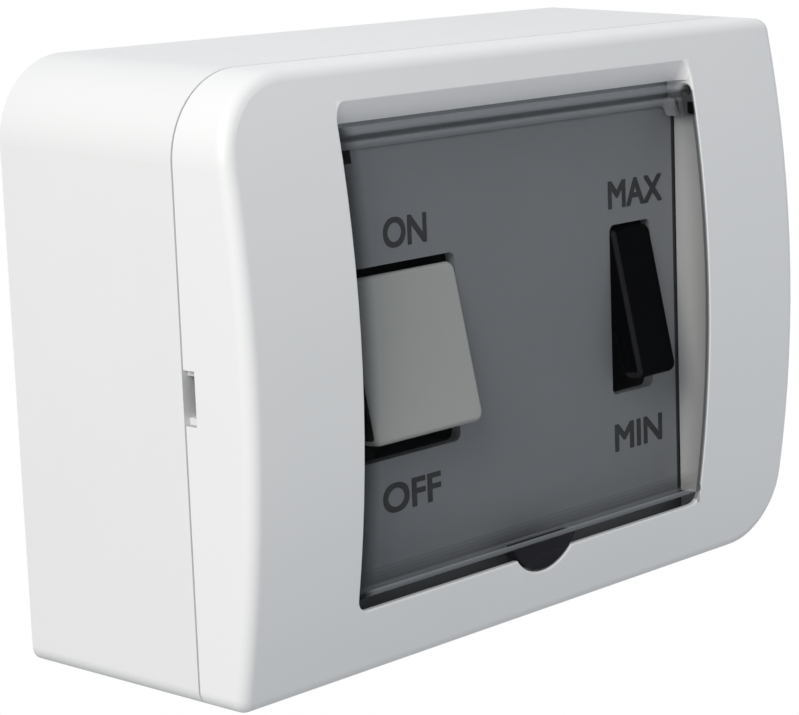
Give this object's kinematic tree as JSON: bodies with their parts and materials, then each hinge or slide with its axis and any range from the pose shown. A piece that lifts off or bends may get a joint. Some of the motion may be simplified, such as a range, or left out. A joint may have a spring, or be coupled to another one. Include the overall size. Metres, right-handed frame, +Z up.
{
  "type": "fan speed regulator",
  "caption": "Wall-mounted ceiling-fan speed regulator: white box with a bowed front, and a smoked hinged flap over an on/off rocker and a slim speed rocker.",
  "frame": {"origin": "middle of the case's flat back, where it lies on the wall", "axes": "+X to the right as seen from the front, +Y into the wall, +Z up"},
  "size_m": [0.13, 0.051, 0.092],
  "materials": {
    "white_abs": "white moulded ABS, satin",
    "smoked_pane": "smoked clear polycarbonate, polished",
    "fascia_grey": "mid-grey moulded ABS, fine matt",
    "rocker_white": "off-white moulded polycarbonate, satin",
    "rocker_black": "black moulded polycarbonate, satin",
    "nylon": "natural nylon",
    "switch_black": "black glass-filled nylon",
    "contact_brass": "stamped brass",
    "zinc_steel": "zinc-plated steel",
    "spring_steel": "drawn spring wire",
    "board_laminate": "brown paper laminate",
    "terminal_grey": "dark grey moulded nylon",
    "fuse_glass": "clear glass tube",
    "nickel": "nickel-plated brass",
    "film_box": "yellow moulded film capacitor box",
    "powder_core": "coated iron-powder ring",
    "copper_wire": "enamelled copper wire",
    "epoxy_black": "black moulded epoxy",
    "sink_aluminium": "extruded aluminium, natural",
    "resistor_body": "lacquered resistor body",
    "diac_blue": "blue lacquered bead"
  },
  "bodies": {
    "case": {"back_box": "white_abs", "front_cover": "white_abs", "fascia_plate": "fascia_grey", "fascia_screws": "zinc_steel", "circuit_board": "board_laminate", "board_screws": "zinc_steel", "on_off_switch_body": "switch_black", "on_off_terminals": "contact_brass", "speed_switch_body": "switch_black", "speed_terminals": "contact_brass", "terminal_housing": "terminal_grey", "terminal_clamps": "contact_brass", "terminal_screws": "zinc_steel", "fuse_tube": "fuse_glass", "fuse_caps": "nickel", "fuse_clips": "contact_brass", "film_capacitor": "film_box", "timing_capacitor": "film_box", "choke_core": "powder_core", "choke_winding": "copper_wire", "triac_tab": "nickel", "triac_case": "epoxy_black", "triac_screw": "zinc_steel", "heat_sink": "sink_aluminium", "resistors": "resistor_body", "diac": "diac_blue"},
    "flap": {"flap": "smoked_pane"},
    "on_off_rocker": {"on_off_rocker": "rocker_white", "on_off_plunger": "nylon", "on_off_spring": "spring_steel"},
    "on_off_arm": {"on_off_contact_arm": "contact_brass"},
    "speed_rocker": {"speed_rocker": "rocker_black", "speed_plunger": "nylon", "speed_spring": "spring_steel"},
    "speed_arm": {"speed_contact_arm": "contact_brass"}
  },
  "joints": [
    {"name": "flap_hinge", "type": "hinge", "parent": "case", "child": "flap", "pos_m": [0, -0.04684, 0.0339], "axis": [-1, 0, 0], "range_deg": [0, 120]},
    {"name": "on_off_tilt", "type": "hinge", "parent": "case", "child": "on_off_rocker", "pos_m": [-0.02535, -0.03925, -0.001], "axis": [1, 0, 0], "range_deg": [0, 24.8]},
    {"name": "on_off_contact", "type": "hinge", "parent": "case", "child": "on_off_arm", "pos_m": [-0.02535, -0.02975, -0.001], "axis": [1, 0, 0], "range_deg": [-14.05, 0]},
    {"name": "speed_tilt", "type": "hinge", "parent": "case", "child": "speed_rocker", "pos_m": [0.03005, -0.03925, -0.001], "axis": [1, 0, 0], "range_deg": [0, 24.8]},
    {"name": "speed_contact", "type": "hinge", "parent": "case", "child": "speed_arm", "pos_m": [0.03005, -0.02975, -0.001], "axis": [1, 0, 0], "range_deg": [-14.05, 0]}
  ],
  "couplings": [
    {"joint": "on_off_contact", "follows": "on_off_tilt", "ratio": -0.56452},
    {"joint": "speed_contact", "follows": "speed_tilt", "ratio": -0.56452}
  ]
}
